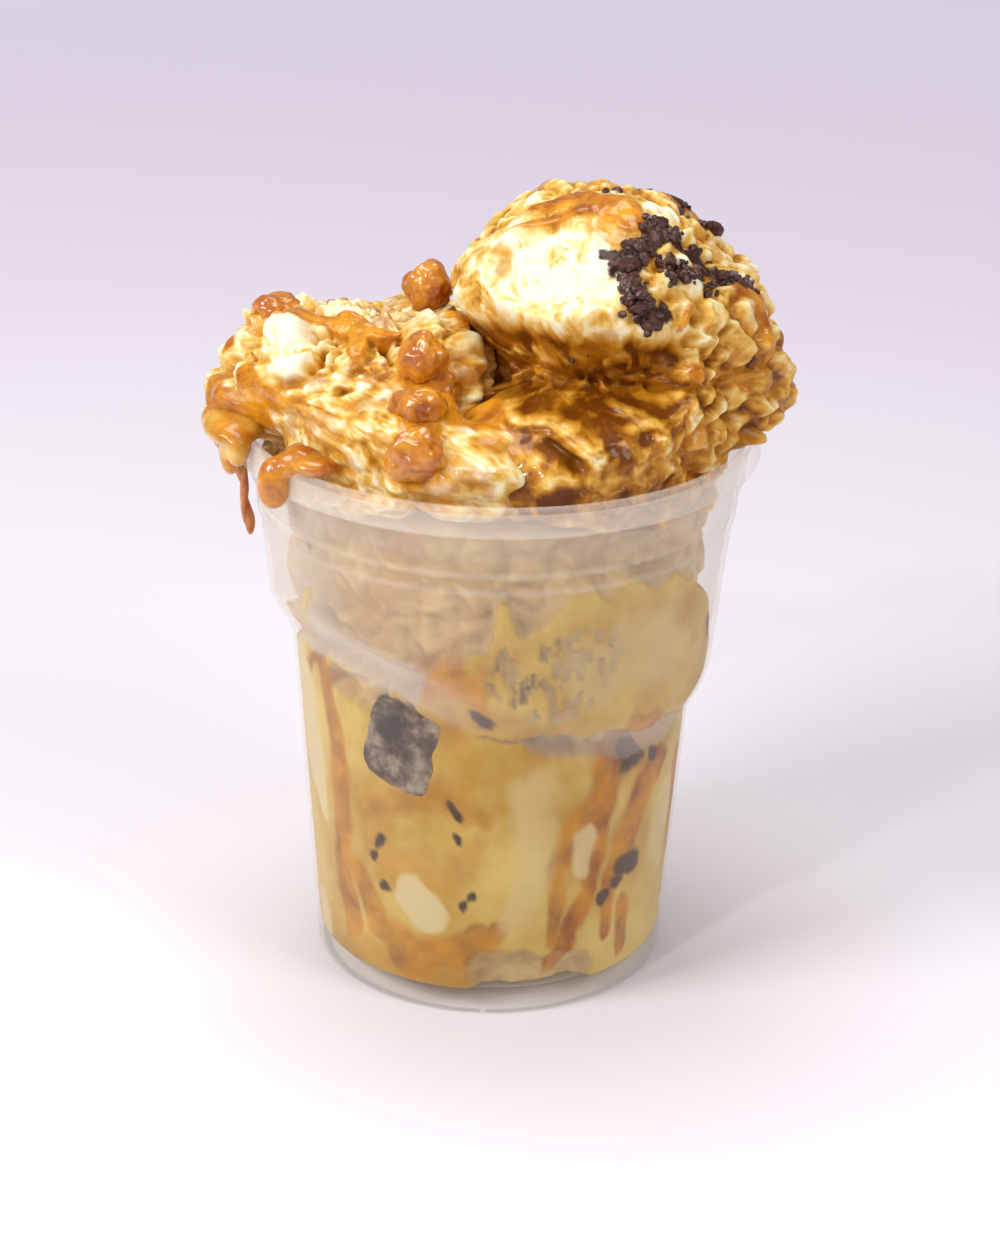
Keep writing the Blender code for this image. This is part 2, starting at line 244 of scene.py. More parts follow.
floor_inside = [(10.0, 4.6), (22.0, 4.6), (29.0, 4.6), *arc((30.3, 6.4), 1.8, -80.0, -4.0, 6)]
mouth = [(43.6, 96.5), (44.1, 99.5), (44.6, 102.2), (45.0, 104.2)]
lip = arc((46.25, 104.9), 1.15, 175.0, 20.0, 12)
skirt = [(47.42, 104.4), (47.45, 103.4), (47.5, 102.2), *arc((47.05, 101.15), 0.45, 0.0, -180.0, 7)]
under = [(46.55, 103.6), *arc((46.2, 104.3), 0.3, 30.0, 150.0, 4), (45.7, 103.2), (45.2, 99.8)]
foot_ring = [(33.05, 4.0), (32.85, 1.9), *arc((31.9, 0.9), 0.9, 15.0, -90.0, 6),
             (30.9, 0.0), *arc((30.7, 0.5), 0.5, -90.0, -180.0, 4), (30.1, 2.8)]
underside = [(29.4, 3.4), (28.0, 3.6), (16.0, 3.6), (4.0, 3.6)]
inside_r, inside_z = turned(floor_inside)
mouth_r, mouth_z = turned([*mouth, *lip, *skirt, *under, (44.9, 96.5)])
base_r, base_z = turned([*foot_ring, *underside])
radius = np.concatenate([inside_r, inner, mouth_r, outer[::-1], base_r])
height = np.concatenate([inside_z, np.repeat(grid_height, CUP_SEGMENTS, 1), mouth_z,
                         np.repeat(grid_height[::-1], CUP_SEGMENTS, 1), base_z])
cup_rings = np.stack([radius * np.cos(azimuth), radius * np.sin(azimuth), height], -1)
cup_mesh = skin("cup", cup_rings, (0.0, 0.0, 4.6), (0.0, 0.0, 3.6))


def paint(mesh, **masks):
    """Keeps each mask as a number per point, for the material to read by name."""
    for name, values in masks.items():
        layer = mesh.attributes.new(name, "FLOAT", "POINT")
        layer.data.foreach_set("value", np.ascontiguousarray(values, np.float32).ravel())


past_foot = height - shoulder_foot(azimuth)
band = ease(past_foot, -1.5, 1.5) * ease(past_foot, 12.0, 7.5)
# lit: painted light. The shoulder band is made more opaque, and so whiter, on the side facing the left lamp
# and at the back right, standing in for light caught by the inclined wall.
lit = 0.04 + 0.2 * ease(np.cos(azimuth + 2.35), 0.7, 0.93) + 0.1 * ease(np.cos(azimuth - 1.2), 0.6, 0.9)
ring_edges = np.exp(-((height - RING_LOW - 0.3) / 0.5) ** 2) + np.exp(-((height - RING_HIGH) / 0.5) ** 2)
filmed = ease(past_foot, 2.0, 9.0) * ease(np.cos(azimuth + 2.95), 0.72, 0.95)
# The alpha mask: the plastic's own milky haze, denser above the shoulder, where the wall is filmed at the
# left, at the stacking ring's edges, by the rim and at the foot, plus the painted light band along the
# shoulder.
cloud = (0.02 + 0.05 * ease(past_foot, 3.0, 10.0) + lit * band + 0.20 * filmed + 0.13 * ring_edges
         + 0.10 * ease(height, 94.0, 98.0) + 0.12 * ease(height, 6.0, 3.0))
paint(cup_mesh, cloud=np.append(cloud.ravel(), [0.2, 0.2]))

plastic, tree, shader = new_material("milky_polypropylene")
shader.inputs["Base Color"].default_value = (0.93, 0.86, 0.73, 1.0)
shader.inputs["Roughness"].default_value = 0.22
facing = tree.nodes.new("ShaderNodeLayerWeight")
facing.inputs["Blend"].default_value = 0.2
cloud = tree.nodes.new("ShaderNodeAttribute")
cloud.attribute_name = "cloud"
haze = tree.nodes.new("ShaderNodeMapRange")
haze.inputs["To Max"].default_value = 0.4
tree.links.new(facing.outputs["Facing"], haze.inputs["Value"])
tree.links.new(cloud.outputs["Fac"], haze.inputs["To Min"])
tree.links.new(haze.outputs["Result"], shader.inputs["Alpha"])
cup = new_piece("cup_shell", cup_mesh, plastic)
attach(cup, "root")
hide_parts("cup")


# ---------------------------------------------------------------------------------------------
# The gelato packed in the cup: pale cream gelato rippled with caramel, pressed against the
# wall up to the shoulder and smeared above it, and clear of the wall under the rim.

def lattice(cell, seed):
    """Four random numbers from 0 to 1 for each whole-number cell, by mixing its bits."""
    mixed = cell.astype(np.int64) * np.array([73856093, 19349663, 83492791])
    value = (mixed[..., 0] ^ mixed[..., 1] ^ mixed[..., 2]) + seed * 374761393
    numbers = []
    for _ in range(4):
        value = (value ^ (value >> 13)) * 1274126177 & 0x7FFFFFFF
        value = (value ^ (value >> 16)) * 668265263 & 0x7FFFFFFF
        numbers.append((value & 0xFFFF) / 65535.0)
    return numbers


def noise(points, size, seed=0):
    """Gradient noise, about -1 to 1, with bumps of that size: a random slope at each corner
    of a cube lattice, eased together."""
    spot = points / size
    cell = np.floor(spot)
    part = spot - cell
    blend = part ** 3 * (part * (part * 6.0 - 15.0) + 10.0)
    total = np.zeros(points.shape[:-1])
    for corner in np.ndindex(2, 2, 2):
        step = np.array(corner)
        slope = np.stack(lattice(cell + step, seed)[:3], -1) * 2.0 - 1.0
        weight = np.prod(np.where(step == 1, blend, 1.0 - blend), -1)
        total += weight * ((part - step) * slope).sum(-1)
    return total * 1.6


def layered(points, size, seed=0, layers=4, fade=0.5):
    """Noise at that size plus halvings of it, each weaker by fade."""
    total, weight, norm = 0.0, 1.0, 0.0
    for layer in range(layers):
        total = total + weight * noise(points, size * 0.5 ** layer, seed + layer)
        norm += weight
        weight *= fade
    return total / norm * 1.5


def cells(points, size, seed=0):
    """Cell noise: the distances to the nearest and next nearest of points strewn one to a
    cube, in cubes, and a random number for the nearest."""
    spot = points / size
    cell = np.floor(spot)
    shape = points.shape[:-1]
    near, second, kind = np.full(shape, 9.0), np.full(shape, 9.0), np.zeros(shape)
    for offset in np.ndindex(3, 3, 3):
        other = cell + np.array(offset) - 1.0
        x, y, z, tone = lattice(other, seed)
        away = np.linalg.norm(other + np.stack([x, y, z], -1) - spot, axis=-1)
        closer = away < near
        second = np.where(closer, near, np.minimum(second, away))
        kind = np.where(closer, tone, kind)
        near = np.where(closer, away, near)
    return near, second, kind


def near_path(points, path, sizes=None):
    """Distance of each point from a broken line through the path's points, over the line's
    half width there if sizes are given."""
    path = np.array(path, float)
    sizes = np.ones(len(path)) if sizes is None else np.broadcast_to(sizes, len(path)) * 1.0
    best = np.full(points.shape[:-1], 1e9)
    for i in range(max(len(path) - 1, 1)):
        a, b = path[i], path[min(i + 1, len(path) - 1)]
        run = b - a
        along = np.clip(((points - a) @ run) / max(run @ run, 1e-9), 0.0, 1.0)
        away = np.linalg.norm(points - a - along[..., None] * run, axis=-1)
        size = sizes[i] + along * (sizes[min(i + 1, len(path) - 1)] - sizes[i])
        best = np.minimum(best, away / size)
    return best


def ridged(points, size, seed=0, layers=4):
    """Crests where noise crosses zero, with finer ones on the crests only: 0 to about 1."""
    total, weight, norm = 0.0, 1.0, 0.0
    for layer in range(layers):
        crest = 1.0 - np.abs(noise(points, size * 0.5 ** layer, seed + layer)) * 2.2
        total = total + weight * np.clip(crest, 0.0, 1.0) ** 2
        norm += weight
        weight = weight * 0.55
    return total / norm


def torn(points, size, seed):
    """The relief of torn gelato, about 0: smooth lumps of two sizes with cracks between them,
    a few torn crests, small crumbs in patches, and round air holes. Also gives the lumps,
    crests and crumbs from 0 to 1, for the colour."""
    bends = np.stack([noise(points, size * 0.8, seed + i) for i in range(3)], -1)
    fine_bends = np.stack([noise(points, size * 0.3, seed + 5 + i) for i in range(3)], -1)
    bent = (points + 0.4 * size * bends + 0.1 * size * fine_bends) * [1.0, 1.0, 1.3]
    near, second, _ = cells(bent, size, seed)
    lumps = np.sqrt(1.0 - (1.0 - np.clip((second - near) / 0.7, 0.0, 1.0)) ** 2)
    near, second, height = cells(bent, size * 0.5, seed + 1)
    slabs = np.sqrt(1.0 - (1.0 - np.clip((second - near) / 0.6, 0.0, 1.0)) ** 2)
    near, second, _ = cells(bent, size * 0.22, seed + 2)
    crumbs = np.sqrt(np.clip((second - near) / 0.5, 0.0, 1.0))
    patches = ease(layered(points, 9.0, seed + 3, 3), 0.0, 0.35)
    crests = ridged(bent, size * 0.8, seed + 4, 3)
    near, _, kind = cells(points, 2.8, seed + 6)
    holes = ease(near, 0.3, 0.15) * (kind > 0.78)
    relief = (2.8 * (lumps - 0.8) + slabs * (0.5 + 1.2 * height) - 0.8 + 0.6 * (crests - 0.35)
              + patches * 1.0 * (crumbs - 0.7) - 1.3 * holes)
    return relief, lumps * (0.6 + 0.4 * slabs), crests, crumbs * patches + (1.0 - patches) * 0.75


def softened(field, passes):
    """Rounds a field's sharp steps: each pass takes 1-2-1 means round and up the grid."""
    for _ in range(passes):
        field = (np.roll(field, 1, 1) + 2.0 * field + np.roll(field, -1, 1)) / 4.0
        padded = np.concatenate([field[:1], field, field[-1:]])
        field = (padded[:-2] + 2.0 * padded[1:-1] + padded[2:]) / 4.0
    return field


FILL_SEGMENTS, FILL_ROWS, FILL_TOP = 400, 240, 101.0
REACH_INTO_WALL = 0.35
MM_PER_DEGREE = 0.62
azimuth = np.linspace(-math.pi, math.pi, FILL_SEGMENTS, endpoint=False)
height = np.linspace(5.0, FILL_TOP, FILL_ROWS)[:, None] * np.ones(FILL_SEGMENTS)
angle = azimuth * np.ones((FILL_ROWS, 1))
degrees = np.degrees(angle)
wall = body_radius(height, angle) - WALL
unrolled = np.stack([wall * np.cos(angle), wall * np.sin(angle), height], -1)
above = height - shoulder_foot(angle)
flow = unrolled * [1.0, 1.0, 0.4]
drift = np.stack([layered(flow, 7.0, 41, 4), layered(flow, 8.0, 45, 4)], -1)
wall_spot = np.stack([degrees * MM_PER_DEGREE, height], -1) + drift * [1.6, 3.6]


def on_wall(path, sizes, strength=1.0, soft=0.55):
    """A mask for a streak along a path of (azimuth in degrees, height), in the flow's drift."""
    line = np.array(path, float) * [MM_PER_DEGREE, 1.0]
    sizes = np.array(sizes) * 1.3
    return strength * ease(near_path(wall_spot, line, sizes), 1.3, 1.3 - soft)


# Contact: below the shoulder the gelato touches nearly everywhere, above it only where it was
# smeared, in a body with ragged tongues on top that end in points.
tongues = [(-95, 75, 2.6), (-88, 86, 1.9), (-80, 78, 2.0), (-73, 81, 2.2), (-62, 84, 3.6), (-54, 83, 3.2),
           (-45, 83, 4.2), (-36, 76, 3.0), (-24, 70, 3.4), (40, 78, 6.0), (75, 84, 5.0), (110, 76, 6.0)]
smear = np.maximum.reduce([
    on_wall([(-104, 60), (-96, 66), (-80, 69), (-60, 73), (-40, 71), (-26, 64)],
            [4, 5, 7, 10, 9, 6], 1.0, 0.2),
    on_wall([(30, 66), (60, 70), (100, 70), (125, 66)], [5, 8, 8, 5], 1.0, 0.2),
    on_wall([(-150, 74), (-144, 80)], [1.8, 1.0], 1.0, 0.2),
    *[on_wall([(bearing, 66), (bearing, top)], [size * 1.5, size * 0.45], 1.0, 0.2)
      for bearing, top, size in tongues],
])
scratched = (on_wall([(-73, 69), (-68, 74)], [5, 5]) + on_wall([(-86, 72), (-81, 76)], [3, 3]))
scratched = scratched * ease(layered(unrolled * [1.0, 1.0, 0.3], 1.8, 48, 2), 0.0, 0.2)
fog = on_wall([(-140, 63), (-124, 61), (-112, 59)], [2, 3, 1.5]) + on_wall([(-84, 7), (-64, 7)], [5, 4])
contact = np.maximum(ease(above + 2.5 * drift[..., 0], 3.0, -1.0), smear) * ease(height, 94.0, 89.0)
contact = np.clip(contact - 0.3 * scratched - 0.75 * fog, 0.0, 1.0)
crumbled, lumps, crests, small = torn(unrolled, 9.0, 71)
depth = 3.4 + 1.6 * layered(unrolled, 16.0, 5, 3) + 1.2 * ease(height, 86.0, 98.0) - 0.8 * crumbled
gap = (1.0 - contact) * np.maximum(softened(depth, 3), 0.9) - contact * REACH_INTO_WALL
shape_r = (wall - gap) * (1.0 - 0.3 * ease(height, 97.5, FILL_TOP + 1.0))
fill_rings = np.stack([shape_r * np.cos(angle), shape_r * np.sin(angle), height], -1)
fill_mesh = skin("gelato_fill", fill_rings[::-1], (0.0, 0.0, FILL_TOP + 1.5), (0.0, 0.0, 5.0))

# Ripple: caramel drawn down the wall in streaks and swirls, patches of plain cream, and
# chocolate specks. Behind, where no one streak stands out, the same noise draws them.
caramel = np.maximum.reduce([
    on_wall([(-176, 63), (-160, 62), (-147, 66)], [0.8, 1.2, 0.9], 0.8),
    on_wall([(-147, 66), (-145, 57), (-142, 47), (-141, 36), (-144, 24), (-140, 12)],
            [1.2, 1.7, 1.9, 2.2, 2.2, 2.0], 0.85),
    on_wall([(-109, 68), (-100, 69), (-94, 65)], [3.0, 3.6, 1.4], 0.8),
    on_wall([(-106, 60), (-101, 56)], [3.2, 2.6], 0.5, 1.1),
    on_wall([(-128, 40), (-118, 44), (-100, 46), (-91, 41)], [3.2, 3.4, 3.0, 1.6], 0.55, 1.0),
    on_wall([(-126, 34), (-121, 28), (-100, 30), (-96, 36)], [4.0, 4.0, 4.0, 3.0], 0.42, 1.1),
    on_wall([(-136, 27), (-128, 14), (-113, 10), (-98, 13), (-86, 19)], [2.0, 2.6, 2.6, 2.8, 1.4], 0.75),
    on_wall([(-46, 58), (-53, 48), (-63, 40), (-69, 30), (-70, 16)], [3.0, 2.8, 1.8, 1.5, 1.0], 0.8),
    on_wall([(-55, 50), (-56, 37), (-58, 26), (-64, 17), (-67, 11)], [3.0, 1.9, 1.8, 1.7, 1.9], 1.0),
    on_wall([(-31, 47), (-42, 38), (-49, 27), (-50, 13)], [2.6, 2.6, 2.0, 1.2], 1.0),
    on_wall([(-42, 19), (-41, 9)], [1.2, 1.3], 0.9),
    on_wall([(-13, 42), (-8, 22)], [2.0, 2.0], 0.9),
    on_wall([(-140, 8), (-120, 6), (-95, 7)], [2.4, 2.0, 1.6], 0.35),
])
veins = ease(layered(flow * [1.0, 1.0, 0.8], 13.0, 13, 4) + 0.5 * drift[..., 1], 0.1, 0.5)
hidden = ease(np.abs(degrees + 90.0), 70.0, 100.0)
caramel = np.clip(np.maximum(caramel, (0.22 + 0.7 * hidden) * veins), 0.0, 1.0)
cream = np.maximum.reduce([
    on_wall([(-113, 22), (-111, 20)], [3.3, 3.2], 1.0, 0.3),
    on_wall([(-164, 58), (-160, 45), (-154, 33)], [4.6, 4.2, 1.8], 1.0),
    on_wall([(-162, 12), (-161, 3)], [2.6, 2.4], 0.9),
    on_wall([(-60, 36), (-61, 31)], [1.8, 1.5], 0.8),
    on_wall([(-78, 48), (-76, 30), (-83, 20)], [3.6, 3.4, 2.4], 0.5, 0.9),
    on_wall([(-62, 72), (-50, 76), (-42, 72)], [6.0, 6.0, 5.0], 0.45, 0.9),
    on_wall([(-22, 34), (-24, 24)], [3.4, 3.0], 0.5),
    on_wall([(-10, 60), (-8, 52)], [3.0, 2.0], 0.7),
    hidden * ease(layered(flow, 15.0, 17, 3), 0.12, 0.4) * (1.0 - caramel),
])
specks = [(-93, 62, 1.5), (-45, 49, 2.4), (-35, 49, 1.3), (-110, 50, 1.0), (-101, 44, 0.9), (-100, 39, 0.8),
          (-125, 33, 1.1), (-124, 24, 0.9), (-98, 22, 0.8), (-95, 23, 0.8), (-43, 28, 2.4), (-52, 22, 1.6),
          (-19, 72, 1.4), (-152, 90, 1.5), (-46, 24, 1.2), (-128, 31, 0.8), (60, 50, 2.0), (95, 30, 1.6),
          (120, 58, 1.4), (30, 22, 1.8), (10, 46, 1.2), (150, 40, 1.5)]
cocoa = np.maximum.reduce([on_wall([(bearing, level)], [size], 0.95, 0.5)
                           for bearing, level, size in specks])
bleed = np.maximum.reduce([on_wall([(bearing, level)], [size * 2.2], 0.4, 1.1)
                           for bearing, level, size in specks if size > 1.2])


def ends(values):
    """A mask's values for a mesh from skin(): point by point, then its two end points."""
    return np.concatenate([values.ravel(), [values[0].mean(), values[-1].mean()]])


# The tone, used where the gelato is clear of the wall, is lighter on lumps and crests and darker in the
# cracks between them: partly caramel gathered there, partly painted shade and painted light on the relief.
paint(fill_mesh, caramel=ends(np.maximum(caramel, bleed)[::-1]), cream=ends(cream[::-1]),
      cocoa=ends(cocoa[::-1]), touching=ends(contact[::-1]),
      tone=ends((0.5 + 0.3 * (lumps - 0.8) + 0.4 * (crests - 0.35))[::-1]))


def value_mix(tree, factor, low, high):
    """A colour mix node between two plain colours or sockets."""
    mix = tree.nodes.new("ShaderNodeMix")
    mix.data_type = "RGBA"
    tree.links.new(factor, mix.inputs["Factor"])
    for socket, value in ((mix.inputs[6], low), (mix.inputs[7], high)):
        if isinstance(value, tuple):
            socket.default_value = (*value, 1.0)
        else:
            tree.links.new(value, socket)
    return mix.outputs[2]


def number_mix(tree, factor, low, high):
    """A value that runs from low to high with the factor."""
    spread = tree.nodes.new("ShaderNodeMapRange")
    tree.links.new(factor, spread.inputs["Value"])
    spread.inputs["To Min"].default_value = low
    spread.inputs["To Max"].default_value = high
    return spread.outputs["Result"]


def mask(tree, name):
    reader = tree.nodes.new("ShaderNodeAttribute")
    reader.attribute_name = name
    return reader.outputs["Fac"]


mottling = bpy.data.node_groups.new("mottle", "ShaderNodeTree")
for label in ("Scale", "Detail"):
    mottling.interface.new_socket(label, in_out="INPUT", socket_type="NodeSocketFloat")
mottling.interface.new_socket("Value", in_out="OUTPUT", socket_type="NodeSocketFloat")
enter = mottling.nodes.new("NodeGroupInput")
leave = mottling.nodes.new("NodeGroupOutput")
place = mottling.nodes.new("ShaderNodeTexCoord")
pattern = mottling.nodes.new("ShaderNodeTexNoise")
pattern.inputs["Roughness"].default_value = 0.6
mottling.links.new(place.outputs["Object"], pattern.inputs["Vector"])
mottling.links.new(enter.outputs["Scale"], pattern.inputs["Scale"])
mottling.links.new(enter.outputs["Detail"], pattern.inputs["Detail"])
mottling.links.new(pattern.outputs["Fac"], leave.inputs["Value"])


def texture(tree, size, detail):
    """The mottle group: noise with features of that size in millimetres."""
    node = tree.nodes.new("ShaderNodeGroup")
    node.node_tree = mottling
    node.inputs["Scale"].default_value = 1.0 / (size * METRE)
    node.inputs["Detail"].default_value = detail
    return node.outputs["Value"]


def stretched(tree, value, start, end):
    """The part of a value between start and end, spread over 0 to 1."""
    spread = tree.nodes.new("ShaderNodeMapRange")
    tree.links.new(value, spread.inputs["Value"])
    spread.inputs["From Min"].default_value = start
    spread.inputs["From Max"].default_value = end
    return spread.outputs["Result"]


def ramp(tree, value, stops):
    """Colours along a value, from (position, colour) stops."""
    node = tree.nodes.new("ShaderNodeValToRGB")
    tree.links.new(value, node.inputs["Fac"])
    marks = node.color_ramp.elements
    while len(marks) < len(stops):
        marks.new(0.5)
    for mark, (position, colour) in zip(marks, stops):
        mark.position = position
        mark.color = (*colour, 1.0)
    return node.outputs["Color"]


def summed(tree, first, second, factor):
    """first + second x factor."""
    node = tree.nodes.new("ShaderNodeMath")
    node.operation = "MULTIPLY_ADD"
    tree.links.new(second, node.inputs[0])
    node.inputs[1].default_value = factor
    tree.links.new(first, node.inputs[2])
    return node.outputs["Value"]


packed, tree, shader = new_material("packed_gelato")
tone = stretched(tree, texture(tree, 20.0, 6.0), 0.36, 0.66)
base = value_mix(tree, tone, (0.46, 0.25, 0.025), (0.68, 0.49, 0.13))
loose = value_mix(tree, mask(tree, "tone"), (0.36, 0.19, 0.05), (0.84, 0.62, 0.30))
base = value_mix(tree, mask(tree, "touching"), loose, base)
rippled = ramp(tree, texture(tree, 7.0, 5.0), [(0.36, (0.27, 0.072, 0.0)), (0.64, (0.60, 0.24, 0.0))])
base = value_mix(tree, mask(tree, "caramel"), base, rippled)
base = value_mix(tree, mask(tree, "cream"), base, (0.66, 0.52, 0.25))
base = value_mix(tree, mask(tree, "cocoa"), base, (0.045, 0.02, 0.015))
tree.links.new(base, shader.inputs["Base Color"])
shader.inputs["Roughness"].default_value = 0.5
shader.inputs["Specular IOR Level"].default_value = 0.12
fill = new_piece("packed_gelato", fill_mesh, packed)
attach(fill, "root")
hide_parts("gelato_fill")


# ---------------------------------------------------------------------------------------------
# The right scoop: a firm ball with a clean scooped face. Its skirt hangs over torn, crumbly
# gelato and a melted slope that runs down to the front of the rim, and it spills over at the
# side. Each piece of gelato is a ball of rays whose ends follow the lobes, lumps and folds.

SCOOP_SEGMENTS, SCOOP_RINGS = 372, 250
RIGHT_CENTRE = (18.0, -3.0, 112.0)
RIGHT_LOBES = [
    ((18.0, 0.0, 130.5), (25.8, 27.4, 17.0)),
    ((18.0, 0.0, 119.0), (24.0, 24.0, 20.0)),
    ((30.0, -1.0, 122.0), (19.5, 23.0, 15.0)),
    ((38.5, 0.5, 110.5), (15.2, 14.0, 10.5)),
    ((38.0, -2.0, 117.0), (13.5, 13.0, 9.0)),
    ((0.0, -6.0, 130.0), (9.0, 13.5, 8.0)),
    ((16.0, -19.0, 107.0), (28.0, 25.0, 12.5)),
    ((33.0, -15.0, 110.0), (15.0, 16.0, 13.0)),
    ((20.0, 17.0, 110.0), (26.0, 25.0, 19.0)),
    ((26.0, 11.0, 119.0), (18.0, 17.0, 18.0)),
]
MOUTH_REACH, SIDE_REACH = 44.4, 53.6
REACH_MIDDLE, REACH_FULL, REACH_NONE = 2.0, 10.0, 22.0
RIM_TOP = 106.1


def directions(segments, rings):
    """Unit vectors over a ball in rings from just below the top pole to above the bottom."""
    around = np.linspace(-math.pi, math.pi, segments, endpoint=False)
    down = np.linspace(0.0, math.pi, rings + 2)[1:-1, None]
    flat = np.sin(down)
    return np.stack([flat * np.cos(around), flat * np.sin(around),
                     np.cos(down) * np.ones(segments)], -1)


def skin_distance(ways, centre, lobes, sharpness=18.0):
    """How far the skin lies from the centre each way: the far side of every ellipsoid,
    joined by a high power mean that leaves a soft crease where two lobes meet."""
    total = np.zeros(ways.shape[:-1])
    for middle, sizes in lobes:
        start = (np.array(centre) - middle) / sizes
        ray = ways / sizes
        a = (ray * ray).sum(-1)
        b = ray @ start
        root = b * b - a * (start @ start - 1.0)
        far = (np.sqrt(np.maximum(root, 0.0)) - b) / a
        total += np.where(root > 0.0, np.maximum(far, 0.0), 0.0) ** sharpness
    return total ** (1.0 / sharpness)


def held_by_mouth(points, slack=0.0):
    """Draws points in to the mouth's radius, less the slack, at the front and back, lets them
    out past the rim at the sides, and rests what is outside the mouth on the rim."""
    side = ease(np.abs(points[..., 1] - REACH_MIDDLE), REACH_NONE, REACH_FULL)
    side = side * ease(points[..., 2], 103.5, 106.5)
    inside = MOUTH_REACH - 1.6 * ease(points[..., 2], 106.5, 104.5) - slack
    reach = inside + (SIDE_REACH - inside) * side
    radius = np.maximum(np.hypot(points[..., 0], points[..., 1]), 1.0)
    over = np.maximum(radius - reach, 0.0)
    drawn = np.where(radius > reach, reach + 0.9 * (1.0 - np.exp(-over / 3.0)), radius) / radius
    held = points * np.stack([drawn, drawn, np.ones_like(drawn)], -1)
    outside = np.hypot(held[..., 0], held[..., 1]) > MOUTH_REACH + 0.9
    held[..., 2] = np.maximum(held[..., 2], np.where(outside, RIM_TOP - 0.2, 95.0))
    return held


def dab(points, centre, size, soft=0.6):
    """A mask that is 1 inside an ellipsoid and fades to 0 at its edge."""
    away = np.linalg.norm((points - np.array(centre, float)) / size, axis=-1)
    return ease(away, 1.0, 1.0 - soft)


def trails(points, runs, edge=0.0, soft=0.35):
    """A mask over several streaks, each a path with its half widths; edge shifts its outline."""
    best = np.zeros(points.shape[:-1])
    for path, sizes in runs:
        best = np.maximum(best, ease(near_path(points, path, sizes) + edge, 1.0, 1.0 - soft))
    return best


ways = directions(SCOOP_SEGMENTS, SCOOP_RINGS)
p = ways * skin_distance(ways, RIGHT_CENTRE, RIGHT_LOBES)[..., None] + RIGHT_CENTRE
ragged = layered(p, 7.0, 21, 4)
crumbled, large, crests, small = torn(p, 7.5, 11)

FACE_CENTRE, FACE_SIZE = (9.5, -21.0, 140.5), (13.0, 10.5, 8.0)
face_away = np.linalg.norm((p - FACE_CENTRE) / FACE_SIZE, axis=-1) + 0.08 * ragged
face = ease(face_away, 1.02, 0.8)
brim = np.exp(-((face_away - 1.16) / 0.14) ** 2) * ease(p[..., 2] + 0.6 * p[..., 0], 152.0, 140.0)
lip_height = 130.8 + 1.3 * noise(p * [1.0, 1.0, 0.2], 11.0, 23)
hang = ease(p[..., 2], lip_height, lip_height - 2.2) * ease(p[..., 2], 113.0, 121.0)
hang = hang * (1.0 - 0.75 * ease(p[..., 0], 29.0, 36.0))
band = ease(p[..., 2], 127.0, 129.0) * ease(face_away, 2.1, 1.75) * ease(p[..., 0], 30.0, 20.0)
melt = ease(p[..., 2] + 1.5 * ragged, 121.5, 117.5) * ease(p[..., 0] + 4.0 * ragged, 40.0, 30.0)
melt = np.maximum(melt * ease(p[..., 1], -14.0, -20.0), 0.8 * ease(ragged, 0.25, 0.6))
melt = melt * (1.0 - ease(p[..., 2], 124.0, 128.0))

folds = trails(p, [
    ([(-4.0, -18.0, 118.0), (1.0, -24.0, 119.0), (4.0, -32.0, 116.0), (9.0, -33.0, 117.5),
      (14.0, -37.0, 115.5), (18.0, -42.0, 112.0)], [3.0, 2.6, 2.2, 2.6, 3.0, 2.4]),
    ([(20.0, -29.0, 119.0), (28.0, -33.0, 115.5), (32.0, -37.0, 112.0)], [2.5, 3.5, 2.5]),
    ([(4.0, -44.0, 109.0), (11.0, -46.0, 109.0), (18.0, -46.0, 108.5)], [3.0, 4.2, 2.6]),
], soft=0.95)
hollows = trails(p, [
    ([(4.0, -26.5, 119.5), (4.2, -29.0, 117.5)], [3.0, 2.6]),
    ([(8.0, -38.5, 113.5), (13.0, -42.0, 111.5)], [2.6, 2.4]),
    ([(-5.0, -20.0, 118.5), (-4.0, -20.5, 116.0)], [2.2, 2.4]),
    ([(12.5, -24.5, 123.5), (13.0, -24.5, 121.8)], [1.5, 1.4]),
    ([(40.5, -15.5, 128.5), (41.0, -17.0, 121.5)], [1.2, 1.6]),
    ([(28.0, -25.0, 120.5), (33.0, -24.5, 119.0)], [1.5, 1.3]),
], edge=0.15 * ragged, soft=0.9)
knobs = trails(p, [
    ([(35.5, -21.0, 128.3), (37.0, -19.5, 126.8)], [5.0, 4.5]),
    ([(42.5, -12.0, 121.0), (42.0, -15.0, 118.0)], [4.0, 3.5]),
    ([(48.0, -6.0, 126.0), (47.0, -5.0, 121.0)], [3.5, 3.5]),
    ([(32.0, -25.0, 117.5), (37.0, -25.0, 116.0)], [4.0, 4.0]),
], edge=0.2 * ragged, soft=0.9)
